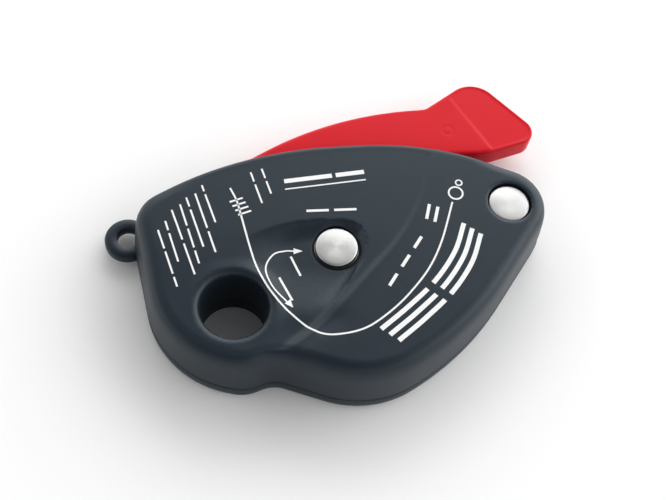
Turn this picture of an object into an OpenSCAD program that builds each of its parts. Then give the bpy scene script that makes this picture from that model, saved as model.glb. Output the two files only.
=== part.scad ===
/* [Body] */
// Length of the body along X, without the tether eye
body_l = 170.3; // [140:0.1:210]
// Height of the body along Y, without the lever
body_h = 108.9; // [88:0.1:132]
// Thickness of the closed body
body_t = 29.4; // [24:0.2:36]
// Thickness of the back plate floor
floor_t = 4.5; // [3.6:0.1:5.4]
// Thickness of the side walls
wall_t = 3.2; // [2.6:0.1:4]

/* [Holes] */
// Radius of the connector hole
connector_r = 13.1; // [11:0.1:15]
// Radius of the tether eye hole
tether_r = 4.4; // [3:0.1:5.4]

/* [Axles] */
// Radius of the two axles
axle_r = 6; // [5:0.1:7]
// Radius of the lock pin
pin_r = 3.98; // [3.3:0.01:4.2]
// Radius of the visible heads
head_r = 8.5; // [7.6:0.1:9]
// Radius of the friction bobbin
bobbin_r = 18; // [15:0.5:20]
// Radius of the brake cam pin
cam_pin_r = 4; // [3.2:0.1:4.8]

/* [Motion] */
// Travel of the release button
press_travel = 1.2; // [0.8:0.1:1.2]
// Opening angle of the lever
handle_open = 65; // [40:1:65]
// Brake cam turn for each degree of the lever
cam_ratio = 0.2; // [0.1:0.01:0.2]

/* [Hidden] */
$fn = 72;
run = 0.05;
kx = body_l / 170.3;
ky = body_h / 108.9;
km = min(kx, ky);
kt = body_t / 29.4;
rim_top = floor_t + 2.5;
cover_low = rim_top + 0.3;
z_crank = floor_t + 0.3;
z_lever = z_crank + 2.5;
z_bob = z_lever + 0.9;
z_in = body_t - 8.6;
z_boss = z_in + 0.2;
z_ceil = z_in + 1.8;
z_scoop = body_t - 3.6;
z_lever_top = z_ceil - 5.6;
shoulder = z_boss + 2;
flange_z = shoulder + press_travel + 0.05;
bezel_z = flange_z + 0.7;
stem_low = z_boss + press_travel - 0.1;
pin_low = floor_t + 7.5;
main_xy = [40.7 * kx, 25.9 * ky];
upper_xy = [112.8 * kx, 46.1 * ky];
cam_xy = main_xy + [43.3, -21.9 * ky];
follow_xy = main_xy + [27.3, -19.9 * ky];
stop_xy = main_xy + [13.1, 26.1];
eye_xy = [-43 * kx, 41.7 * ky];
rivet_a = main_xy + [4, 37.8 * ky];
rivet_b = main_xy + [-11.7, 36.1 * ky];
boss_r = connector_r + 3.4;
roller_r = 13 * km;
follow_r = 2;

function sized(v) = [for (p = v) [p[0] * kx, p[1] * ky, p[2] * km]];
function unit(a) = a / norm(a);
function left(a) = [-a[1], a[0]];
function flat(p) = [p[0], p[1]];

// outline with rounded corners, moved inward by d
function corner(p, a, b, r, d, n) =
  let (
    nu = left(unit(p - a)),
    nv = left(unit(b - p)),
    q = p + (nu + nv) * d / ((nu + nv) * nu),
    u = unit(a - p),
    v = unit(b - p),
    turn = cross(unit(p - a), unit(b - p)),
    rr = turn > 0 ? r - d : r + d,
    half = acos(u * v) / 2,
    t = rr / tan(half),
    c = q + unit(u + v) * rr / sin(half),
    s = q + u * t - c,
    e = q + v * t - c,
    a0 = atan2(s[1], s[0]),
    raw = atan2(e[1], e[0]) - a0,
    sweep = raw > 180 ? raw - 360 : raw < -180 ? raw + 360 : raw
  )
  [for (i = [0:n]) c + rr * [cos(a0 + sweep * i / n), sin(a0 + sweep * i / n)]];
function rounded(v, d = 0, n = 7) =
  let (m = len(v))
  [for (i = [0:m - 1])
    for (q = corner(flat(v[i]), flat(v[(i + m - 1) % m]), flat(v[(i + 1) % m]), v[i][2], d, n)) q];

// body seen from the front
outline = sized([[-28, -20.7, 41.7], [5, -26.5, 15.7], [15.5, -22.2, 12.4], [53.5, -35.3, 41.7],
  [93.6, -10.9, 127.5], [140.8, 55.9, 19], [81.2, 79.4, 122], [3.6, 73.9, 160.4], [-42, 46.3, 16.1]]);
// lever seen from the front
lever = sized([[137.2, 88, 7], [108.3, 119.6, 12], [85, 102.2, 6], [43.2, 97.9, 150],
  [1.4, 71.1, 4], [11, 64.8, 5], [60, 76, 60], [110, 78.6, 34]]);
web = sized([[20, 54, 4], [50, 56, 4], [62, 79, 3], [17, 73, 3]]);
// open side of the cover
mouth = [for (p = [[-27, 54], [-27, 120], [122, 120], [122, 71], [104, 66], [20, 50]])
  [p[0] * kx, p[1] * ky]];
scoop = sized([[14, 33, 5], [20, 20, 4], [39, 5, 7], [60, 22, 11], [53, 39, 9], [36, 38, 60]]);
nose = [for (p = [[20.6, -18.4, 2.5], [30, -10, 7], [52, -13, 7], [52, -31, 7], [33, -30, 6]])
  [p[0], p[1] * ky, p[2] * min(1, ky)]];

// the brake cam pin's follower in the lever's frame
function turned(p, a) = [p[0] * cos(a) - p[1] * sin(a), p[0] * sin(a) + p[1] * cos(a)];
function follower(t) = cam_xy + turned(follow_xy - cam_xy, cam_ratio * max(t, 0)) - main_xy;
function ramp_point(t) =
  let (f = follower(t))
  turned(unit(f) * (norm(f) - follow_r - 0.35), -t);
ramp = concat([[0, 0]], [for (t = [handle_open + 9:-4:-8]) ramp_point(t)]);

// solid through a stack of outlines, rings = [height, inset]
module loft(v, rings) {
  pts = [for (g = rings) for (q = rounded(v, g[1])) [q[0], q[1], g[0]]];
  m = len(rounded(v));
  k = len(rings);
  low = [for (i = [m - 1:-1:0]) i];
  top = [for (i = [0:m - 1]) (k - 1) * m + i];
  side = [for (j = [0:k - 2]) for (i = [0:m - 1])
    let (a = j * m + i, b = j * m + (i + 1) % m)
    each [[a, b, b + m], [a, b + m, a + m]]];
  polyhedron(points = pts, faces = concat([[for (i = [m - 1:-1:0]) low[i]]],
    [for (f = side) [f[2], f[1], f[0]]], [[for (i = [m - 1:-1:0]) top[i]]]), convexity = 8);
}

module tube(ro, ri, z0, z1) {
  translate([0, 0, z0])
    difference() {
      cylinder(r = ro, h = z1 - z0);
      translate([0, 0, -1]) cylinder(r = ri, h = z1 - z0 + 2);
    }
}

// closely wound rings joined by a short bar
module coil(r, wire, z0, z1) {
  turns = floor((z1 - z0 - 2 * wire) / (2.6 * wire));
  pitch = (z1 - z0 - 2 * wire) / turns;
  for (i = [0:turns])
    translate([0, 0, z0 + wire + i * pitch])
      rotate_extrude($fn = 32) translate([r, 0]) circle(r = wire, $fn = 14);
  translate([r, 0, z0 + wire]) cylinder(r = wire * 0.8, h = z1 - z0 - 2 * wire, $fn = 14);
}

module back_plate() {
  color("DimGray")
    difference() {
      union() {
        difference() {
          union() {
            loft(outline, [[0, 1.7], [0.6, 0.8], [1.6, 0.2], [2.8, 0], [rim_top, 0]]);
            translate([eye_xy[0], eye_xy[1], 2]) cylinder(r = tether_r + 5, h = rim_top - 2.2);
          }
          translate([0, 0, floor_t])
            linear_extrude(height = 8) polygon(rounded(outline, wall_t));
        }
        cylinder(r = boss_r, h = rim_top);
      }
      translate([0, 0, -1]) cylinder(r = connector_r, h = 20);
      translate([eye_xy[0], eye_xy[1], -1]) cylinder(r = tether_r, h = 20);
      translate([main_xy[0], main_xy[1], -1]) cylinder(r = axle_r, h = 20);
      translate([main_xy[0], main_xy[1], -1]) cylinder(r = axle_r + 4, h = 3);
      translate([upper_xy[0], upper_xy[1], -1]) cylinder(r = axle_r, h = 20);
      translate([upper_xy[0], upper_xy[1], -1]) cylinder(r = axle_r + 4, h = 3);
      translate([cam_xy[0], cam_xy[1], -1]) cylinder(r = cam_pin_r, h = 20);
      translate([stop_xy[0], stop_xy[1], 2]) cylinder(r = 2.5, h = 20);
    }
}

module swing_cover() {
  color("SlateGray")
    difference() {
      union() {
        difference() {
          loft(outline, [[cover_low, 0.15], [13 * kt, 0.5], [19 * kt, 1], [22.5 * kt, 1.4],
            [24.8 * kt, 1.9], [26.5 * kt, 2.6], [27.7 * kt, 3.4], [28.5 * kt, 4.3],
            [29 * kt, 5.4], [body_t, 7]]);
          translate([0, 0, cover_low - 1])
            linear_extrude(height = z_ceil - cover_low + 1) polygon(rounded(outline, wall_t));
          translate([0, 0, cover_low - 1])
            linear_extrude(height = z_ceil - cover_low + 1)
              polygon(mouth);
          translate([0, 0, z_scoop])
            linear_extrude(height = 20) polygon(rounded(scoop));
        }
        translate([0, 0, cover_low]) cylinder(r = boss_r, h = z_ceil - cover_low + 1);
        translate([main_xy[0], main_xy[1], z_boss]) cylinder(r = 12.5, h = z_ceil - z_boss + 1);
      }
      translate([0, 0, -1]) cylinder(r = connector_r, h = 60);
      translate([main_xy[0], main_xy[1], z_boss - 1]) cylinder(r = axle_r, h = 10);
      translate([main_xy[0], main_xy[1], shoulder]) cylinder(r = head_r + 1.1, h = 20);
      translate([upper_xy[0], upper_xy[1], z_ceil - 1]) cylinder(r = axle_r + 1.2, h = 9);
      translate([upper_xy[0], upper_xy[1], z_ceil + 2.2]) cylinder(r = head_r + 0.65, h = 20);
    }
}

module release_button() {
  color("Silver")
    translate([main_xy[0], main_xy[1], 0])
      rotate_extrude()
        polygon([[0, stem_low], [pin_r, stem_low], [pin_r, flange_z], [head_r + 0.8, flange_z],
          [head_r + 0.8, flange_z + 0.65], [head_r, flange_z + 0.65],
          [head_r, z_scoop + 1.1], [head_r - 0.5, z_scoop + 1.6], [0, z_scoop + 1.9]]);
}

module button_bezel() {
  color("Black")
    translate([main_xy[0], main_xy[1], 0])
      tube(head_r + 1.1, head_r + 0.35, bezel_z, bezel_z + 0.8);
}

module lock_bushing() {
  color("Gainsboro")
    translate([main_xy[0], main_xy[1], 0]) tube(axle_r, pin_r + 0.07, z_boss, shoulder);
}

module cover_bushing() {
  color("Peru")
    translate([upper_xy[0], upper_xy[1], 0])
      tube(axle_r + 1.2, axle_r + run, z_ceil, z_ceil + 2.2);
}

module lock_pin() {
  color("Gainsboro")
    translate([main_xy[0], main_xy[1], pin_low])
      cylinder(r = pin_r, h = stem_low - pin_low - 0.05);
}

module lock_spring() {
  color("LightSteelBlue")
    translate([main_xy[0], main_xy[1], 0])
      coil(pin_r - 0.9, 0.45, floor_t - 0.5, pin_low);
}

module main_axle() {
  color("LightGray")
    translate([main_xy[0], main_xy[1], 0])
      difference() {
        union() {
          translate([0, 0, 0.4]) cylinder(r = axle_r + 4, h = 1.6);
          translate([0, 0, 2]) cylinder(r = axle_r, h = z_in - 2);
        }
        translate([0, 0, floor_t - 0.5]) cylinder(r = pin_r + run, h = 40);
      }
}

module thrust_washer_low() {
  color("Goldenrod")
    translate([main_xy[0], main_xy[1], 0]) tube(axle_r + 4, axle_r, floor_t, z_crank);
}

module thrust_washer_high() {
  color("Goldenrod")
    translate([main_xy[0], main_xy[1], 0]) tube(axle_r + 4, axle_r, z_lever, z_bob);
}

module bobbin() {
  color("Silver")
    translate([main_xy[0], main_xy[1], 0])
      difference() {
        rotate_extrude()
          polygon([[axle_r, z_bob], [bobbin_r, z_bob], [bobbin_r, z_bob + 1.2],
            [bobbin_r - 3, z_bob + 3], [bobbin_r - 3, z_in - 3], [bobbin_r, z_in - 1.2],
            [bobbin_r, z_in], [axle_r, z_in]]);
        tube(axle_r + 5.2, axle_r + 1.4, z_bob - 1, z_bob + 5);
      }
}

module handle_spring() {
  color("LightSteelBlue")
    translate([main_xy[0], main_xy[1], 0]) coil(axle_r + 3.2, 0.4, z_bob, z_bob + 4.6);
}

module handle_crank() {
  color("DarkGray")
    difference() {
      translate([main_xy[0], main_xy[1], z_crank])
        linear_extrude(height = z_lever - z_crank)
          union() {
            circle(r = axle_r + 9);
            polygon(rounded([[-13, -2, 4], [12.5, -2, 4], [9, 37.8 * ky + 5.4, 4],
              [-17, 36.1 * ky + 5.4, 4]]));
            polygon(ramp);
          }
      translate([main_xy[0], main_xy[1], 0]) cylinder(r = axle_r + run, h = 40);
      translate([rivet_a[0], rivet_a[1], 0]) cylinder(r = 2, h = 40);
      translate([rivet_b[0], rivet_b[1], 0]) cylinder(r = 2, h = 40);
    }
}

module handle() {
  color("Crimson")
    difference() {
      union() {
        translate([0, 0, z_lever])
          linear_extrude(height = 0.8) polygon(rounded(lever, 0.6));
        translate([0, 0, z_lever + 0.8])
          linear_extrude(height = z_lever_top - z_lever - 1.8) polygon(rounded(lever));
        translate([0, 0, z_lever_top - 1])
          linear_extrude(height = 1) polygon(rounded(lever, 1));
        translate([0, 0, z_lever]) linear_extrude(height = 3) polygon(rounded(web));
      }
      translate([rivet_a[0], rivet_a[1], 0]) cylinder(r = 2, h = 40);
      translate([rivet_b[0], rivet_b[1], 0]) cylinder(r = 2, h = 40);
    }
}

module rivet(at) {
  translate([at[0], at[1], z_crank]) cylinder(r = 2, h = z_lever - z_crank + 3);
  translate([at[0], at[1], z_lever + 3]) cylinder(r1 = 3.2, r2 = 2.2, h = 1);
}

module handle_rivet_a() {
  color("LightGray") rivet(rivet_a);
}

module handle_rivet_b() {
  color("LightGray") rivet(rivet_b);
}

module upper_axle() {
  color("Silver")
    translate([upper_xy[0], upper_xy[1], 0])
      rotate_extrude()
        polygon([[0, 0.4], [axle_r + 4, 0.4], [axle_r + 4, 2], [axle_r, 2],
          [axle_r, z_ceil + 2.3], [head_r, z_ceil + 2.3], [head_r, z_ceil + 4.9],
          [head_r - 0.5, z_ceil + 5.4], [0, z_ceil + 5.7]]);
}

module bobbin_spacer() {
  color("DarkGray")
    translate([upper_xy[0], upper_xy[1], 0]) tube(axle_r + 3, axle_r, floor_t, z_bob);
}

module upper_bobbin() {
  color("Silver")
    translate([upper_xy[0], upper_xy[1], 0])
      rotate_extrude()
        polygon([[axle_r, z_bob], [roller_r, z_bob], [roller_r, z_bob + 1.2],
          [roller_r - 2.5, z_bob + 3], [roller_r - 2.5, z_in - 3], [roller_r, z_in - 1.2],
          [roller_r, z_in], [axle_r, z_in]]);
}

module cover_washer() {
  color("Goldenrod")
    translate([upper_xy[0], upper_xy[1], 0]) tube(axle_r + 4, axle_r, z_in, z_ceil - 0.1);
}

module cam_pin() {
  color("LightGray")
    translate([cam_xy[0], cam_xy[1], 0.6]) cylinder(r = cam_pin_r, h = z_in - 0.8);
}

module brake_cam() {
  color("Silver")
    difference() {
      translate([main_xy[0], main_xy[1], z_bob])
        linear_extrude(height = z_in - z_bob) polygon(rounded(nose));
      translate([cam_xy[0], cam_xy[1], 0]) cylinder(r = cam_pin_r + run, h = 60);
      translate([follow_xy[0], follow_xy[1], 0]) cylinder(r = follow_r, h = z_bob + 4);
    }
}

module cam_follower() {
  color("LightGray")
    translate([follow_xy[0], follow_xy[1], z_crank + 0.2])
      cylinder(r = follow_r, h = z_bob + 3.8 - z_crank);
}

module cam_spring() {
  color("LightSteelBlue")
    translate([cam_xy[0], cam_xy[1], 0]) coil(cam_pin_r + 1.3, 0.45, floor_t, z_bob - 0.1);
}

module handle_stop() {
  color("LightGray")
    translate([stop_xy[0], stop_xy[1], 2]) cylinder(r = 2.5, h = z_lever - 2.3);
}

back_plate();
swing_cover();
release_button();
button_bezel();
lock_bushing();
cover_bushing();
lock_pin();
lock_spring();
main_axle();
thrust_washer_low();
thrust_washer_high();
bobbin();
handle_spring();
handle_crank();
handle();
handle_rivet_a();
handle_rivet_b();
upper_axle();
bobbin_spacer();
upper_bobbin();
cover_washer();
cam_pin();
brake_cam();
cam_follower();
cam_spring();
handle_stop();
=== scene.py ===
import math

import bmesh
import bpy
import numpy as np
from mathutils import Matrix, Vector
from mathutils.geometry import delaunay_2d_cdt


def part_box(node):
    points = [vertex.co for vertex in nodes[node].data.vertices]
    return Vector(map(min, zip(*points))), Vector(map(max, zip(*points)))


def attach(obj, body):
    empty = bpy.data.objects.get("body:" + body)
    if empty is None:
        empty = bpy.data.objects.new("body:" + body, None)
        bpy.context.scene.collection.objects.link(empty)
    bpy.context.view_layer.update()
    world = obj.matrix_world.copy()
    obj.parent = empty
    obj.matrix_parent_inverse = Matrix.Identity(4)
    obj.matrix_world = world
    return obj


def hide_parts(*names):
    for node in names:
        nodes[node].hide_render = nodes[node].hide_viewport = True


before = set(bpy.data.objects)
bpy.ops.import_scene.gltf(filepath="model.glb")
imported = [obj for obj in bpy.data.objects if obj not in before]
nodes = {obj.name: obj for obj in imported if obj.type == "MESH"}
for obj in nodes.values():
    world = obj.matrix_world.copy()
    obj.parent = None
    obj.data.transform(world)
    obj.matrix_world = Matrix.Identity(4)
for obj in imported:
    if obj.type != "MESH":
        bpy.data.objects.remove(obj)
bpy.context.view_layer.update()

MM = 0.001


def centre(node):
    """Middle of a CAD node's box, in mm."""
    lo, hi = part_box(node)
    return (lo + hi) / 2 / MM


def bottom(node):
    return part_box(node)[0].z / MM


def top(node):
    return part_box(node)[1].z / MM


# ------------------------------------------------- places and sizes, in mm
HOLE = (0, 0)
MAIN = centre("release_button")
UPPER = centre("upper_axle")
EYE_R = 9.4
EYE = np.array([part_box("back_plate")[0].x / MM + EYE_R, 41.7])

RIM = top("back_plate")
LOW = bottom("swing_cover")
CEIL = top("swing_cover") - 6.8
LEVER_LOW = bottom("handle")
LEVER_TOP = top("handle")

WALL = 3.2
HOLE_R = 13.1
HOLE_WALL_R = HOLE_R + 3.4
BOSS_R = 12.5
AXLE_R = 6.0
FOOT_R = 10.0
HEAD_R = 8.5
BUTTON_OPEN_R = 9.6
HEAD_OPEN_R = 9.15
BUSHING_R = 7.2
LEVER_ROUND = 1.5
PRINT_LIFT = 0.035

# Corners of the outlines as x, y and the radius of the corner.
BODY = [[-28, -20.7, 41.7], [5, -26.5, 15.7], [15.5, -22.2, 12.4], [53.5, -35.3, 41.7],
        [93.6, -10.9, 127.5], [140.8, 55.9, 19], [81.2, 79.4, 122], [3.6, 73.9, 160.4],
        [-42, 46.3, 16.1]]
LEVER = [[137.2, 88, 7], [108.3, 119.6, 12], [85, 102.2, 6], [43.2, 97.9, 150],
         [1.4, 71.1, 4], [11, 64.8, 5], [60, 76, 60], [110, 78.6, 34]]
LEVER_FOOT = [[20, 54, 4], [50, 56, 4], [62, 79, 3], [17, 73, 3]]
MOUTH = [(-27, 54), (-27, 120), (122, 120), (122, 71), (104, 66), (20, 50)]


# -------------------------------------------------------- lines and fields
def rounded_arcs(V, inset, n):
    """One arc of n + 1 points for each rounded corner of an outline moved inward."""
    N = len(V)
    corners, turns = [], []
    for i in range(N):
        p, a, b = V[i, :2], V[i - 1, :2], V[(i + 1) % N, :2]
        u, v = (p - a) / np.linalg.norm(p - a), (b - p) / np.linalg.norm(b - p)
        nu, nv = np.array([-u[1], u[0]]), np.array([-v[1], v[0]])
        corners.append(p + (nu + nv) * inset / ((nu + nv) @ nu))
        turns.append(u[0] * v[1] - u[1] * v[0])
    arcs = []
    for i in range(N):
        p, a, b = corners[i], corners[i - 1], corners[(i + 1) % N]
        r = V[i, 2] - inset if turns[i] > 0 else V[i, 2] + inset
        u, v = (a - p) / np.linalg.norm(a - p), (b - p) / np.linalg.norm(b - p)
        half = math.acos(max(-1, min(1, u @ v))) / 2
        reach = r / math.tan(half)
        c = p + (u + v) / np.linalg.norm(u + v) * r / math.sin(half)
        start, end = p + u * reach - c, p + v * reach - c
        a0 = math.atan2(start[1], start[0])
        da = (math.atan2(end[1], end[0]) - a0 + math.pi) % (2 * math.pi) - math.pi
        arcs.append([c + r * np.array([math.cos(a0 + da * k / n), math.sin(a0 + da * k / n)])
                     for k in range(n + 1)])
    return arcs


def outline(V, inset=0.0, n=16):
    """Rounded outline moved inward, with the same number of points for every inset."""
    V = np.array(V, float)
    arcs = rounded_arcs(V, inset, n)
    spacing = 4.0
    points = []
    for i in range(len(V)):
        j = (i + 1) % len(V)
        points += arcs[i]
        parts = max(1, int(np.linalg.norm(V[j, :2] - V[i, :2]) / spacing))
        start, end = arcs[i][-1], arcs[j][0]
        points += [start + (end - start) * k / parts for k in range(1, parts)]
    return np.array(points)


def inside(P, poly):
    """Even-odd test of points against a polygon."""
    x, y = P[:, 0:1], P[:, 1:2]
    a, b = poly, np.roll(poly, -1, 0)
    cross = (a[:, 1] > y) != (b[:, 1] > y)
    with np.errstate(divide="ignore", invalid="ignore"):
        at = a[:, 0] + (y - a[:, 1]) * (b[:, 0] - a[:, 0]) / (b[:, 1] - a[:, 1])
    return (np.sum(cross & (x < at), 1) % 2) == 1


def near(P, line, closed=True):
    """Distance from points to a polyline."""
    a = np.array(line, float)
    b = np.roll(a, -1, 0)
    if not closed:
        a, b = a[:-1], b[:-1]
    out = np.full(len(P), 1e9)
    for s, e in zip(a, b):
        d = e - s
        t = np.clip(((P - s) @ d) / max(d @ d, 1e-9), 0, 1)
        out = np.minimum(out, np.linalg.norm(P - s - t[:, None] * d, axis=1))
    return out


def signed(P, line, area):
    """Distance to an open line, positive on the side of the area that it bounds."""
    return near(P, line, closed=False) * np.where(inside(P, area), 1, -1)


def step01(x, a, b):
    """Smooth step from 0 at a to 1 at b."""
    t = np.clip((x - a) / (b - a), 0, 1)
    return t * t * (3 - 2 * t)


def spline(points, step=0.6):
    """Smooth curve through points, evenly sampled."""
    P = np.array(points, float)
    Q = np.vstack([2 * P[0] - P[1], P, 2 * P[-1] - P[-2]])
    out = []
    for i in range(1, len(Q) - 2):
        for t in np.linspace(0, 1, 24, endpoint=False):
            a, b, c, d = Q[i - 1], Q[i], Q[i + 1], Q[i + 2]
            out.append(0.5 * (2 * b + (c - a) * t + (2 * a - 5 * b + 4 * c - d) * t * t
                              + (3 * b - a - 3 * c + d) * t ** 3))
    out.append(P[-1])
    out = np.array(out)
    run = np.concatenate([[0], np.cumsum(np.linalg.norm(np.diff(out, axis=0), axis=1))])
    even = np.linspace(0, run[-1], max(2, int(run[-1] / step)) + 1)
    return np.column_stack([np.interp(even, run, out[:, 0]), np.interp(even, run, out[:, 1])])


def ring_of(c, r, n=96):
    a = np.arange(n) * 2 * math.pi / n
    return np.column_stack([c[0] + r * np.cos(a), c[1] + r * np.sin(a)])


# ------------------------------------------------------------ cover relief
# The rounded edge as distance in from the outline and height. It is a large soft round all
# about, and a tighter one along the far side, by the lever.
EDGE = np.array([[0.15, 7.3], [0.2, 8], [0.35, 10.5], [0.5, 13], [0.75, 16], [1.0, 19], [1.2, 21],
                 [1.4, 22.5], [1.62, 23.8], [1.9, 24.8], [2.2, 25.7], [2.6, 26.5], [3.0, 27.15],
                 [3.4, 27.7], [3.85, 28.15], [4.3, 28.5], [4.85, 28.8], [5.4, 29.0], [6.2, 29.25],
                 [7, 29.4], [99, 29.4]])
EDGE_FAR = np.vstack([EDGE[:12], [[3.0, 27.6], [3.4, 28.4], [3.85, 28.95], [4.3, 29.2],
                                  [4.85, 29.35], [5.4, 29.4], [99, 29.4]]])
BODY_LINE = outline(BODY)

RIDGE_LINE = spline([(92, 98), (87, 82), (82.6, 69.1), (76.5, 50.3), (70.9, 38), (63.6, 26.8),
                     (53.6, 15.2), (42.8, 2.6), (33.2, -7.6), (24.4, -14.6), (12, -24)], 2.0)
RIDGE_AREA = np.vstack([RIDGE_LINE, [(-60, -60), (-60, 120)]])
VALLEY_LINE = [(36, -3), (27, -9), (21, -17), (17, -30)]
SCOOP_EDGE = np.array([(3.7, 28.4), (11.2, 32.2), (18.1, 34.6), (25.2, 36.4), (32.8, 37.4),
                       (38.9, 37.7), (44.6, 37.4), (48.8, 36.0), (51.5, 33.4), (52.8, 27.9),
                       (52.0, 22.6), (49.3, 17.0), (45.2, 10.5), (40.3, 3.4), (34.2, -4.6),
                       (27, -11), (20, -17), (12, -30)])
SCOOP_AREA = np.vstack([SCOOP_EDGE, [(-40, -30), (-40, 20)]])
SCOOP_MIDDLE = [(15, 28), (40, 26)]
SCOOP_DEPTH = 3.3
RIDGE_STEP = 0.38
VALLEY_DEPTH = 1.1
COLLAR_RISE = 0.35


def ridge_fall(P):
    """Low step along the ridge, down to the thumb side, which deepens towards the near edge."""
    across = signed(P, RIDGE_LINE, RIDGE_AREA)
    deep = step01(34 - P[:, 1], 0, 42)
    fall = (RIDGE_STEP + 0.35 * deep) * step01(across, -1.4, 1.8 + 1.4 * deep)
    crest = 0.09 * np.exp(-(across / 0.9 + 1) ** 2)
    return fall + 0.5 * deep * step01(across, 0, 18) - crest


def valley_fall(P):
    """Shallow valley between the connector hole and the right-hand part."""
    across = near(P, VALLEY_LINE, closed=False)
    return VALLEY_DEPTH * np.exp(-(across / 6.5) ** 2) * step01(-P[:, 1], -2, 13)


def scoop_fall(P):
    """Sunk thumb area, a crescent that is steep at its far edge and melts away on the near side."""
    x, y = P[:, 0], P[:, 1]
    into = signed(P, SCOOP_EDGE, SCOOP_AREA)
    wall = 8.0 + 2.0 * step01(30 - x, 0, 26) - 3.6 * step01(x - 0.4 * y, 28, 40)
    slope = 1 - (1 - np.clip((into + 0.2) / wall, 0, 1)) ** 2
    slope = slope * step01(into, -0.5, 1.2)
    reach = near(P, SCOOP_MIDDLE, closed=False)
    under = step01((x - 13) * 0.09 + (28.5 - y), -6, 4)
    fade = 1 - 0.72 * step01(reach, 9, 34) * under
    return SCOOP_DEPTH * slope * fade * step01(x, 0, 24)


def drop(P):
    """How far the cover's top lies under the right-hand plateau, before the collar."""
    scoop = scoop_fall(P)
    return (ridge_fall(P) + valley_fall(P)) * (1 - scoop / 5) + scoop


def collar(P, fall):
    """The fall eased by the raised collar round the connector hole, which leans to the right."""
    share = step01(np.linalg.norm(P, axis=1), 21.5, 14.5)
    lean = 0.9 - 0.055 * (P[:, 1] + 0.4 * P[:, 0])
    return fall * (1 - 0.55 * share) + np.clip(lean, 0, 2.2) * share * COLLAR_RISE


def hole_round(P, c, r, width, depth):
    """Soft rounding towards a hole's rim."""
    t = np.clip((np.linalg.norm(P - np.array(c), axis=1) - r) / width, 0, 1)
    return depth * (1 - np.sqrt(np.clip(1 - (1 - t) ** 2, 0, 1)))


def cover_top(P, edge):
    """Height of the cover's skin at points whose distance from the outline is edge."""
    P = np.asarray(P, float)
    far = step01(P[:, 1], 44, 60) * step01(112 - P[:, 0], 0, 14)
    z = (1 - far) * np.interp(edge, EDGE[:, 0], EDGE[:, 1])
    z = z + far * np.interp(edge, EDGE_FAR[:, 0], EDGE_FAR[:, 1])
    z = z - collar(P, drop(P)) * step01(edge, 0.8, 6.5)
    z = z - hole_round(P, HOLE, HOLE_R, 3.2, 2.5)
    z = z - hole_round(P, UPPER[:2], HEAD_OPEN_R, 1.1, 0.5)
    z = z - hole_round(P, MAIN[:2], BUTTON_OPEN_R, 0.7, 0.3)
    return z


def cover_z(P):
    """Height of the cover's skin at any points."""
    P = np.asarray(P, float)
    return cover_top(P, near(P, BODY_LINE) * np.where(inside(P, BODY_LINE), 1, -1))


# -------------------------------------------------------------- mesh tools
def new_object(name, verts, faces):
    """Object made from vertices in mm, with its faces turned outward."""
    mesh = bpy.data.meshes.new(name)
    mesh.from_pydata([tuple(np.array(v) * MM) for v in verts], [], faces)
    mesh.update()
    obj = bpy.data.objects.new(name, mesh)
    bpy.context.scene.collection.objects.link(obj)
    bm = bmesh.new()
    bm.from_mesh(mesh)
    bmesh.ops.recalc_face_normals(bm, faces=bm.faces)
    bm.to_mesh(mesh)
    bm.free()
    return obj


def smooth(obj, angle=32):
    """Smooth shading, with edges sharper than the angle kept crisp."""
    bm = bmesh.new()
    bm.from_mesh(obj.data)
    limit = math.radians(angle)
    for f in bm.faces:
        f.smooth = True
    for e in bm.edges:
        e.smooth = len(e.link_faces) == 2 and e.calc_face_angle(0) < limit
    bm.to_mesh(obj.data)
    bm.free()
    obj.data.update()


def grid_inside(line, step, margin, rows=0.87, stagger=0.5):
    """Grid points inside a closed line and further than margin from it."""
    lo, hi = line.min(0), line.max(0)
    gx, gy = np.meshgrid(np.arange(lo[0], hi[0], step), np.arange(lo[1], hi[1], step * rows))
    gx = gx + (np.arange(gx.shape[0]) % 2)[:, None] * step * stagger
    G = np.column_stack([gx.ravel(), gy.ravel()])
    return G[inside(G, line) & (near(G, line) > margin)]


def loop_edges(start, count):
    return [(start + i, start + (i + 1) % count) for i in range(count)]


def triangulate(points, edges, m):
    """Triangles that fill the closed line of the first m points and keep the given edges."""
    filled = delaunay_2d_cdt([Vector(p) for p in points], edges, [tuple(range(m))], 1, 1e-5)
    flat = np.array([(c.x, c.y) for c in filled[0]])
    return flat, filled[2], filled[3]


def stack(V, rings, height):
    """Outlines of (z, inset) laid one on another; one with no z lies on the skin."""
    verts = []
    for z, inset in rings:
        loop = outline(V, inset)
        m = len(loop)
        zs = [z] * m if z is not None else height(loop, np.full(m, inset))
        verts += [(p[0], p[1], h) for p, h in zip(loop, zs)]
    faces = [tuple(reversed(range(m)))]
    for a in range(0, len(verts) - m, m):
        b = a + m
        faces += [(a + i, a + (i + 1) % m, b + (i + 1) % m, b + i) for i in range(m)]
    return verts, faces, loop


def relief(name, V, rings, height=None, grid=0.8, margin=0.5, circles=()):
    """Closed solid of stacked outlines, with a flat top or a skin of the given height."""
    verts, faces, rim = stack(V, rings, height)
    m = len(rim)
    base = len(verts) - m
    if height is None:
        faces.append(tuple(range(base, base + m)))
        return new_object(name, verts, faces)
    G = grid_inside(rim, grid, margin)
    points = [rim]
    edges = loop_edges(0, m)
    count = m
    for c, r in circles:
        ring = ring_of(c, r)
        G = G[np.abs(np.linalg.norm(G - np.array(c), axis=1) - r) > 0.35]
        edges += loop_edges(count, len(ring))
        points.append(ring)
        count += len(ring)
    flat, tris, origin = triangulate(np.vstack(points + [G]), edges, m)
    index = {i: base + q for i, sources in enumerate(origin) for q in sources if q < m}
    heights = height(flat, near(flat, outline(V)))
    for i, p in enumerate(flat):
        if i not in index:
            index[i] = len(verts)
            verts.append((p[0], p[1], heights[i]))
    faces += [tuple(index[i] for i in t) for t in tris]
    return new_object(name, verts, faces)


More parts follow.
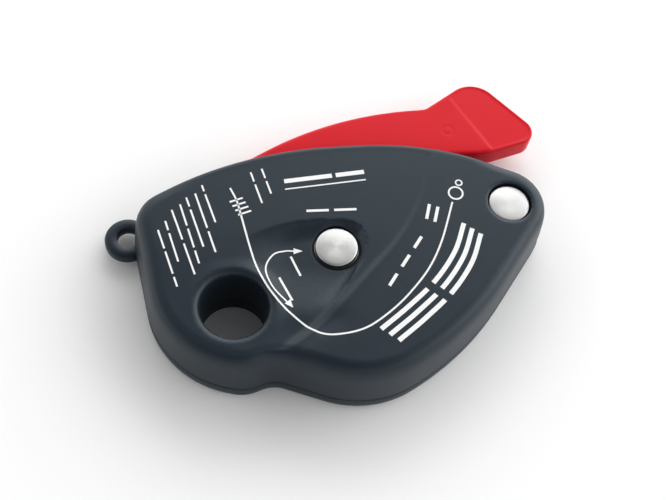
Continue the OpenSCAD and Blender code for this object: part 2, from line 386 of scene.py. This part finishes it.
def prism(poly, z0, z1):
    """Upright solid over a polygon."""
    m = len(poly)
    verts = [(p[0], p[1], z) for z in (z0, z1) for p in poly]
    faces = [tuple(reversed(range(m))), tuple(range(m, 2 * m))]
    faces += [(i, (i + 1) % m, m + (i + 1) % m, m + i) for i in range(m)]
    return new_object("cut", verts, faces)


def cyl(c, r, z0, z1, n=96):
    return prism(ring_of(c, r, n), z0, z1)


def lathe(name, profile, c, n=128):
    """Closed or axis-touching profile [(r, z)] turned about the vertical through c."""
    verts, faces, ids = [], [], []
    for r, z in profile:
        if r < 1e-6:
            ids.append([len(verts)] * n)
            verts.append((c[0], c[1], z))
        else:
            ids.append(list(range(len(verts), len(verts) + n)))
            verts += [(p[0], p[1], z) for p in ring_of(c, r, n)]
    pairs = [(k, k + 1) for k in range(len(profile) - 1)]
    if profile[0][0] > 1e-6:
        pairs.append((len(profile) - 1, 0))
    for a, b in pairs:
        for i in range(n):
            j = (i + 1) % n
            corners = dict.fromkeys((ids[a][i], ids[a][j], ids[b][j], ids[b][i]))
            if len(corners) > 2:
                faces.append(tuple(corners))
    return new_object(name, verts, faces)


def boolean(obj, cutter, operation="DIFFERENCE"):
    """Cuts or joins another solid, which is used up."""
    modifier = obj.modifiers.new("cut", "BOOLEAN")
    modifier.operation = operation
    modifier.solver = "EXACT"
    modifier.object = cutter
    graph = bpy.context.evaluated_depsgraph_get()
    mesh = bpy.data.meshes.new_from_object(obj.evaluated_get(graph))
    obj.modifiers.clear()
    old = obj.data
    obj.data = mesh
    mesh.name = old.name
    bpy.data.meshes.remove(old)
    used = cutter.data
    bpy.data.objects.remove(cutter)
    bpy.data.meshes.remove(used)


def centred(obj, c):
    """Moves the object's origin to c so that turned finishes run round it."""
    c = Vector(c) * MM
    obj.data.transform(Matrix.Translation(-c))
    obj.location = c


# --------------------------------------------------------------- materials
def noise(tree, where, scale, detail):
    node = tree.nodes.new("ShaderNodeTexNoise")
    node.inputs["Scale"].default_value = scale
    node.inputs["Detail"].default_value = detail
    tree.links.new(where, node.inputs["Vector"])
    return node.outputs["Fac"]


def turning(tree, where, scale):
    """Fine rings about the object's upright axis, as a lathe leaves them."""
    node = tree.nodes.new("ShaderNodeTexWave")
    node.wave_type = "RINGS"
    node.rings_direction = "Z"
    node.inputs["Scale"].default_value = scale
    node.inputs["Distortion"].default_value = 0.6
    tree.links.new(where, node.inputs["Vector"])
    return node.outputs["Fac"]


def between(tree, value, low, high):
    """Maps a value of 0 to 1 to low to high."""
    node = tree.nodes.new("ShaderNodeMapRange")
    node.inputs["To Min"].default_value = low
    node.inputs["To Max"].default_value = high
    tree.links.new(value, node.inputs["Value"])
    return node.outputs["Result"]


def bumped(tree, height, strength, depth, normal):
    node = tree.nodes.new("ShaderNodeBump")
    node.inputs["Strength"].default_value = strength
    node.inputs["Distance"].default_value = depth
    tree.links.new(height, node.inputs["Height"])
    if normal:
        tree.links.new(normal, node.inputs["Normal"])
    return node.outputs["Normal"]


def material(name, color, rough, metal, bumps, vary, vary_scale, rough_vary, spec=0.5,
             tint=(1, 1, 1)):
    """Principled material with fine bumps, whose colour and roughness drift a little.

    bumps lists patterns as kind, scale, strength and depth in metres."""
    mat = bpy.data.materials.new(name)
    mat.use_nodes = True
    tree = mat.node_tree
    shader = tree.nodes["Principled BSDF"]
    shader.inputs["Base Color"].default_value = (*color, 1)
    shader.inputs["Roughness"].default_value = rough
    shader.inputs["Metallic"].default_value = metal
    shader.inputs["Specular IOR Level"].default_value = spec
    shader.inputs["Specular Tint"].default_value = (*tint, 1)
    where = tree.nodes.new("ShaderNodeTexCoord").outputs["Object"]
    drift = noise(tree, where, vary_scale, 4)
    shade = tree.nodes.new("ShaderNodeVectorMath")
    shade.operation = "SCALE"
    shade.inputs[0].default_value = color
    tree.links.new(between(tree, drift, 1 - vary, 1 + vary), shade.inputs["Scale"])
    tree.links.new(shade.outputs["Vector"], shader.inputs["Base Color"])
    tree.links.new(between(tree, drift, rough - rough_vary, rough + rough_vary),
                   shader.inputs["Roughness"])
    normal = None
    for kind, scale, strength, depth in bumps:
        pattern = turning(tree, where, scale) if kind == "turning" else noise(tree, where, scale, 3)
        normal = bumped(tree, pattern, strength, depth, normal)
    tree.links.new(normal, shader.inputs["Normal"])
    return mat


ANTHRACITE = material("anthracite", (0.007, 0.012, 0.019), 0.42, 0,
                      [("grain", 2300, 0.26, 0.0002), ("grain", 420, 0.05, 0.0004)],
                      0.10, 60, 0.03, spec=0.40, tint=(0.78, 0.92, 1.0))
RED = material("red_moulded", (0.60, 0.008, 0.017), 0.30, 0, [("grain", 900, 0.04, 0.0003)],
               0.04, 50, 0.04, spec=0.13)
STEEL = material("steel", (0.44, 0.44, 0.46), 0.32, 1, [("grain", 1800, 0.05, 0.0002)],
                 0.06, 300, 0.05)
BRIGHT = material("bright_steel", (0.52, 0.52, 0.515), 0.34, 1, [("turning", 900, 0.25, 0.0001)],
                  0.03, 200, 0.03)
BRONZE = material("bronze", (0.55, 0.34, 0.13), 0.38, 1, [("grain", 1500, 0.05, 0.0002)],
                  0.08, 250, 0.05)
SPRING = material("spring_steel", (0.42, 0.43, 0.45), 0.34, 1, [("grain", 2500, 0.04, 0.0001)],
                  0.06, 400, 0.04)
BLACK = material("black_ring", (0.004, 0.004, 0.005), 0.6, 0, [("grain", 2500, 0.05, 0.0002)],
                 0.1, 300, 0.05, spec=0.2)
PRINT = material("white_print", (0.80, 0.80, 0.80), 0.55, 0, [("grain", 3000, 0.06, 0.0001)],
                 0.06, 500, 0.04)
BRONZE_NODES = ("thrust_washer_low", "thrust_washer_high", "cover_bushing", "cover_washer")


def dress_nodes():
    """Gives every CAD node its material."""
    for name, node in nodes.items():
        mat = STEEL
        if "spring" in name:
            mat = SPRING
        if name in BRONZE_NODES:
            mat = BRONZE
        if name == "button_bezel":
            mat = BLACK
        node.data.materials.clear()
        node.data.materials.append(mat)


def finish_piece(obj, mat, body, node):
    """Dresses a detailed piece, which moves with its body and replaces its CAD node."""
    smooth(obj)
    obj.data.materials.clear()
    obj.data.materials.append(mat)
    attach(obj, body)
    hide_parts(node)


# ------------------------------------------------------------------ pieces
def make_cover():
    rings = [(LOW, EDGE[0, 0])] + [(None, inset) for inset in EDGE[1:-2, 0]]
    circles = [(HOLE, HOLE_R + out) for out in (0, 0.5, 1.1, 1.9, 3.2)]
    circles += [(MAIN[:2], BUTTON_OPEN_R + out) for out in (0, 0.3, 0.7)]
    cover = relief("cover_shell", BODY, rings, cover_top, 0.9, 0.54, circles)
    cavity = prism(outline(BODY, WALL, 12), LOW - 2, CEIL)
    boolean(cavity, cyl(HOLE, HOLE_WALL_R, LOW - 4, CEIL + 2))
    boolean(cavity, cyl(MAIN, BOSS_R, CEIL - 1.6, CEIL + 2))
    boolean(cover, cavity)
    boolean(cover, prism(MOUTH, LOW - 3, CEIL - 0.001))
    boolean(cover, cyl(HOLE, HOLE_R, -5, 60, 128))
    boolean(cover, cyl(MAIN, AXLE_R, 10, 30))
    boolean(cover, cyl(MAIN, BUTTON_OPEN_R, CEIL + 0.4, 60, 128))
    boolean(cover, cyl(UPPER, BUSHING_R, CEIL - 3, CEIL + 3))
    boolean(cover, cyl(UPPER, HEAD_OPEN_R, CEIL + 2.2, 60, 128))
    finish_piece(cover, ANTHRACITE, "cover", "swing_cover")


def make_back_plate():
    rings = [(0, 1.9), (0.12, 1.45), (0.4, 1.0), (0.9, 0.55), (1.6, 0.2), (2.4, 0.03), (3.2, 0),
             (RIM - 0.45, 0), (RIM - 0.15, 0.12), (RIM, 0.4)]
    eye_profile = [(4.4, 2.9), (4.65, 2.35), (5.2, 2.0), (8.4, 2.0), (9.05, 2.3), (EYE_R, 3.0),
                   (EYE_R, 5.7), (9.05, 6.45), (8.4, 6.8), (5.2, 6.8), (4.65, 6.5), (4.4, 5.9)]
    plate = relief("back_shell", BODY, rings)
    eye = lathe("eye", eye_profile, EYE, 96)
    pocket = prism(outline(BODY, WALL, 12), 4.5, RIM + 3)
    boolean(pocket, cyl(HOLE, HOLE_WALL_R, 3, RIM + 5))
    boolean(plate, pocket)
    boolean(plate, cyl(EYE, AXLE_R, -3, 20))
    boolean(plate, eye, "UNION")
    boolean(plate, cyl(HOLE, HOLE_R, -5, 20, 128))
    for axle in (MAIN, UPPER):
        boolean(plate, cyl(axle, AXLE_R, -5, 20, 128))
        boolean(plate, cyl(axle, FOOT_R, -1, 2, 128))
    finish_piece(plate, ANTHRACITE, "frame", "back_plate")


CREASE_AT = np.array([103.5, 95.5])
CREASE_OUT = np.array([25.9, 14.6]) / math.hypot(25.9, 14.6)
EJECTOR_AT = np.array([93.7, 90.5])


def lever_z(P, edge):
    """Height of the lever: rounded edge, creased grip, scooped neck and a faint moulding ring."""
    bend = 1 - (1 - np.clip(edge / LEVER_ROUND, 0, 1)) ** 2
    z = LEVER_TOP - LEVER_ROUND * (1 - np.sqrt(np.clip(bend, 0, 1)))
    out = (P - CREASE_AT) @ CREASE_OUT
    grip = 0.35 * step01(out, -0.2, 1.1) + 0.012 * np.clip(out, 0, 30)
    neck = 0.012 * np.clip(P[:, 1] - 83, 0, 18) * step01(-out, -1.2, 0)
    z = z - (grip + neck) * step01(edge, 0.2, 1.6)
    ring = np.linalg.norm(P - EJECTOR_AT, axis=1) - 2.3
    return z - 0.12 * np.exp(-(ring / 0.35) ** 2)


def make_lever():
    rings = [(LEVER_LOW, 1.1), (LEVER_LOW + 0.15, 0.65), (LEVER_LOW + 0.5, 0.25),
             (LEVER_LOW + 1.1, 0.02), (LEVER_LOW + 1.5, 0.0), (LEVER_TOP - LEVER_ROUND, 0.0)]
    rings += [(None, inset) for inset in (0.06, 0.2, 0.4, 0.7, 1.05, LEVER_ROUND)]
    lever = relief("lever_grip", LEVER, rings, lever_z)
    boolean(lever, prism(outline(LEVER_FOOT, 0, 8), LEVER_LOW, LEVER_LOW + 3), "UNION")
    for rivet in ("handle_rivet_a", "handle_rivet_b"):
        boolean(lever, cyl(centre(rivet), 2.0, 0, 30, 48))
    finish_piece(lever, RED, "lever", "handle")


def head_top(z):
    """Rounded rim and shallow cone of a bright head whose middle is at z."""
    return [(HEAD_R, z - 0.82), (8.44, z - 0.6), (8.28, z - 0.42), (8.02, z - 0.3),
            (7.6, z - 0.22), (4, z - 0.08), (0, z)]


def make_button():
    low = bottom("release_button")
    flange, seat = low + 2.15, low + 2.8
    profile = [(0, low), (3.98, low), (3.98, flange), (9.3, flange), (9.3, seat), (HEAD_R, seat)]
    button = lathe("button_cap", profile + head_top(top("release_button")), MAIN)
    centred(button, MAIN)
    finish_piece(button, BRIGHT, "button", "release_button")


def make_upper_axle():
    seat = CEIL + 2.3
    profile = [(0, 0.4), (FOOT_R - 0.4, 0.4), (FOOT_R, 0.8), (FOOT_R, 2), (AXLE_R, 2),
               (AXLE_R, seat), (HEAD_R, seat)]
    axle = lathe("axle_head", profile + head_top(top("upper_axle")), UPPER)
    centred(axle, UPPER)
    finish_piece(axle, BRIGHT, "frame", "upper_axle")


# --------------------------------------------------------------- printing
mark_verts, mark_faces = [], []


def lifted(P):
    """Points just above the cover's skin."""
    return [(p[0], p[1], z + PRINT_LIFT) for p, z in zip(P, cover_z(P))]


def ribbon(line, width, closed=False):
    """Printed line of even width."""
    L = np.array(line, float)
    along = np.roll(L, -1, 0) - np.roll(L, 1, 0) if closed else np.gradient(L, axis=0)
    along = along / np.linalg.norm(along, axis=1)[:, None]
    side = np.column_stack([-along[:, 1], along[:, 0]]) * width / 2
    base, n = len(mark_verts), len(L)
    mark_verts.extend(lifted(L + side) + lifted(L - side))
    for i in range(n if closed else n - 1):
        j = (i + 1) % n
        mark_faces.append((base + i, base + n + i, base + n + j, base + j))


def patch(corners, step=0.8):
    """Filled printed shape."""
    P = np.array(corners, float)
    border = []
    for a, b in zip(P, np.roll(P, -1, 0)):
        parts = max(1, int(np.linalg.norm(b - a) / step))
        border += [a + (b - a) * k / parts for k in range(parts)]
    border = np.array(border)
    points = np.vstack([border, grid_inside(border, step, step / 2, 1, 0)])
    flat, tris, _ = triangulate(points, loop_edges(0, len(border)), len(border))
    base = len(mark_verts)
    mark_verts.extend(lifted(flat))
    mark_faces.extend([tuple(base + i for i in t) for t in tris])


def dashes(a, b, parts, width):
    """A row of plain bars between a and b; parts gives bar and gap lengths in turn."""
    a, b = np.array(a, float), np.array(b, float)
    total = sum(parts)
    at = 0
    for k, part in enumerate(parts):
        if k % 2 == 0:
            ribbon(spline([a + (b - a) * at / total, a + (b - a) * (at + part) / total]), width)
        at += part


# Widths of the printed lines.
FINE, THIN, LINE, BAR, WIDE, BROAD = 0.6, 0.75, 0.9, 1.3, 1.9, 2.0
ROPE = [(-1.2, 52.0), (1.4, 46), (3.0, 39.5), (6.4, 25.1), (10.1, 13.6), (16.4, 2.7), (24.9, -6.6),
        (32.2, -12.1), (39.8, -12.9), (50.2, -10.2), (60.7, -2.7), (69.2, 5.9), (76.9, 16.1),
        (82.9, 28.3), (88.8, 45.7)]
ARROW = [(24.5, 24.6), (20.5, 24.6), (15.5, 22.6), (12.4, 16.2), (14.8, 8.2), (20.4, 1.6)]
ROWS = [((-12.5, 53.3), (-7.0, 36.0), [2, 1, 9]), ((-15.1, 49.3), (-6.9, 22.6), [12, 1.2, 7]),
        ((-18.6, 47.4), (-11.6, 25.0), [3, 1, 12]), ((-21.0, 44.2), (-13.2, 17.7), [7, 1, 6, 1, 4]),
        ((-24.2, 41.6), (-14.8, 13.0), [9, 1.2, 9]), ((-26.6, 36.5), (-21.2, 18.5), [3, 1, 9]),
        ((-29.3, 32.4), (-21.4, 7.8), [6, 1, 7, 1, 3]),
        ((11.6, 61.4), (15.2, 49.5), [3, 1, 4]), ((7.1, 59.6), (11.5, 45.0), [3, 1, 6])]
STRIPE = np.array([(88.6, 38.5), (83.5, 25.5), (74.5, 12.6), (63.0, 1.4), (51.6, -8.2)])
STRIPE_ASIDE = np.array((0.80, -0.60))


def print_rope():
    """Rope line with two rings at one end and a comb of short bars at the other."""
    ribbon(spline(ROPE), THIN)
    ribbon(ring_of((90.6, 50.0), 2.9, 40), THIN, True)
    ribbon(ring_of((92.4, 55.0), 1.3, 24), FINE, True)
    for k in range(4):
        at = np.array([1.2 + 1.1 * k, 46.4 - 2.0 * k])
        ribbon(spline([at + (-2.6, -1.0), at, at + (2.6, 1.0)]), 0.8)


def print_arrow():
    """Curved double arrow between the button and the rope line."""
    ribbon(spline(ARROW), FINE)
    patch([(27.2, 24.7), (23.6, 26.0), (23.6, 23.3)])
    patch([(22.6, -0.8), (21.6, 2.9), (19.4, 0.9)])


def print_bars():
    """Plain bars and dashes in place of the lettering."""
    for a, b, parts in ROWS:
        dashes(a, b, parts, THIN)
    dashes((29.1, 41.4), (49.3, 42.3), [5, 1.2, 5], 1.1)
    dashes((20.6, 55.4), (53.5, 60.3), [20, 1.6, 12], BROAD)
    dashes((20.9, 51.6), (54.0, 56.5), [34], FINE)
    dashes((22.4, 22.2), (26.0, 13.6), [5], LINE)
    dashes((17.6, 12.6), (22.4, 2.4), [5], LINE)
    for shift in (4.8, 8.8, 12.8):
        lane = spline(STRIPE + STRIPE_ASIDE * shift)
        ribbon(lane[:int(len(lane) * 0.52)], WIDE)
        ribbon(lane[int(len(lane) * 0.57):], WIDE)
    for k in range(3):
        x, y = -5.6 * k, -8.4 * k
        ribbon(spline([(74.6 + x, 29.4 + y), (71.2 + x, 24.2 + y)]), BAR)
    ribbon(spline([(79.2, 44.6), (77.4, 37.6)]), BAR)
    ribbon(spline([(82.6, 43.4), (80.6, 36.2)]), BAR)


def make_print():
    print_rope()
    print_arrow()
    print_bars()
    prints = new_object("printed_lines", mark_verts, mark_faces)
    for f in prints.data.polygons:
        f.use_smooth = True
    if sum(f.normal.z for f in prints.data.polygons) < 0:
        prints.data.flip_normals()
    prints.data.materials.append(PRINT)
    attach(prints, "cover")


# ------------------------------------------------------ floor, light, camera
def make_floor():
    bpy.ops.mesh.primitive_plane_add(size=6, location=(0.04, 0.02, -0.0001))
    floor = bpy.context.object
    floor.name = "table"
    mat = bpy.data.materials.new("table")
    mat.use_nodes = True
    shader = mat.node_tree.nodes["Principled BSDF"]
    shader.inputs["Base Color"].default_value = (0.90, 0.90, 0.90, 1)
    shader.inputs["Roughness"].default_value = 0.6
    floor.data.materials.append(mat)


def ramp(tree, value, start, end, low, high):
    """Smooth ramp from low to high over a stretch of one direction of the sky."""
    node = tree.nodes.new("ShaderNodeMapRange")
    node.interpolation_type = "SMOOTHSTEP"
    for key, number in zip(("From Min", "From Max", "To Min", "To Max"), (start, end, low, high)):
        node.inputs[key].default_value = number
    tree.links.new(value, node.inputs["Value"])
    return node.outputs["Result"]


def times(tree, a, b):
    node = tree.nodes.new("ShaderNodeMath")
    node.operation = "MULTIPLY"
    tree.links.new(a, node.inputs[0])
    if isinstance(b, (int, float)):
        node.inputs[1].default_value = b
    else:
        tree.links.new(b, node.inputs[1])
    return node.outputs["Value"]


def make_world():
    """White studio sky, dim overhead, in front and to the left."""
    world = bpy.data.worlds.new("studio")
    world.use_nodes = True
    tree = world.node_tree
    background = tree.nodes["Background"]
    background.inputs["Color"].default_value = (1, 1, 1, 1)
    xyz = tree.nodes.new("ShaderNodeSeparateXYZ")
    tree.links.new(tree.nodes.new("ShaderNodeTexCoord").outputs["Generated"], xyz.inputs["Vector"])
    light = ramp(tree, xyz.outputs["Z"], 0.60, 0.86, 1.0, 0.10)
    light = times(tree, light, ramp(tree, xyz.outputs["Y"], -0.75, 0.15, 0.30, 1.0))
    light = times(tree, light, ramp(tree, xyz.outputs["X"], -0.7, 0.5, 0.45, 1.0))
    tree.links.new(times(tree, light, 3.3), background.inputs["Strength"])
    bpy.context.scene.world = world


def make_light(name, place, width, depth, watts):
    """Rectangular light aimed at the middle of the object."""
    light = bpy.data.lights.new(name, "AREA")
    light.energy = watts
    light.shape = "RECTANGLE"
    light.size = width
    light.size_y = depth
    obj = bpy.data.objects.new(name, light)
    obj.location = place
    aim = Vector((0.04, 0.02, 0)) - Vector(place)
    obj.rotation_euler = aim.to_track_quat("-Z", "Y").to_euler()
    bpy.context.scene.collection.objects.link(obj)


def make_camera():
    """Camera over the near edge, tilted up from straight down and turned a little to the right."""
    cam = bpy.data.cameras.new("camera")
    cam.sensor_width = 36
    cam.lens = 58.7
    cam.clip_start = 0.01
    camera = bpy.data.objects.new("camera", cam)
    place = Vector((-4.44, -185.10, 398.01)) * MM
    tilt = Matrix.Rotation(math.radians(29.475), 4, "X")
    pan = Matrix.Rotation(math.radians(-5.836), 4, "Y")
    camera.matrix_world = Matrix.Translation(place) @ tilt @ pan
    bpy.context.scene.collection.objects.link(camera)
    bpy.context.scene.camera = camera


dress_nodes()
make_cover()
make_back_plate()
make_lever()
make_button()
make_upper_axle()
make_print()
make_floor()
make_world()
make_light("key", (0.15, 0.95, 0.75), 0.8, 0.4, 1.8)
make_light("side", (0.95, 0.2, 0.7), 0.6, 0.6, 0.5)
make_camera()
bpy.context.scene.view_settings.view_transform = "Standard"
bpy.context.scene.view_settings.look = "None"
